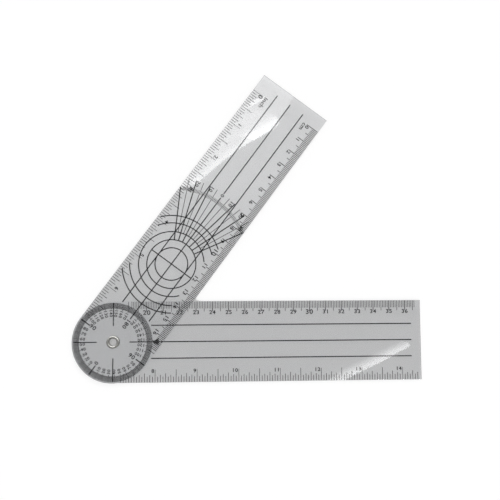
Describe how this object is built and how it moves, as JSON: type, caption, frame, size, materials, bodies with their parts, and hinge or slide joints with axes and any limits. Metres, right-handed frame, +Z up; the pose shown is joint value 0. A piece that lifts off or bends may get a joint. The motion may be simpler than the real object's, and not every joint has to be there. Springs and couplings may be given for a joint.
{
  "type": "angle finder with arms",
  "caption": "Clear flat angle finder: a dial arm swings over a pointer arm about a hollow eyelet, with degree dial, ruled edges, circle gauge and angle fan.",
  "frame": {"origin": "on the pivot axis, at the underside of the pointer arm, which is the lower end of the eyelet's straight bore", "axes": "+X along the pointer arm from the pivot to its square end, +Z up through the eyelet, +Y across the pointer arm towards its centimetre edge"},
  "size_m": [0.2143, 0.1919, 0.0034],
  "materials": {
    "clear_sheet": "clear calendered PVC sheet, polished, light grey over a pale ground",
    "nickel_plate": "nickel-plated brass, rolled and bright",
    "black_ink": "screen-printed black ink film"
  },
  "bodies": {
    "pointer_side": {"pointer_arm": "clear_sheet", "pivot_eyelet": "nickel_plate", "pointer_guide_lines": "black_ink", "pointer_index": "black_ink", "pointer_cm_marks": "black_ink", "pointer_inch_marks": "black_ink"},
    "dial_side": {"dial_arm": "clear_sheet", "dial_degree_marks": "black_ink", "dial_arm_lines": "black_ink"}
  },
  "joints": [
    {"name": "arm_swing", "type": "hinge", "parent": "pointer_side", "child": "dial_side", "pos_m": [0, 0, 0], "axis": [0, 0, 1], "continuous": true}
  ]
}
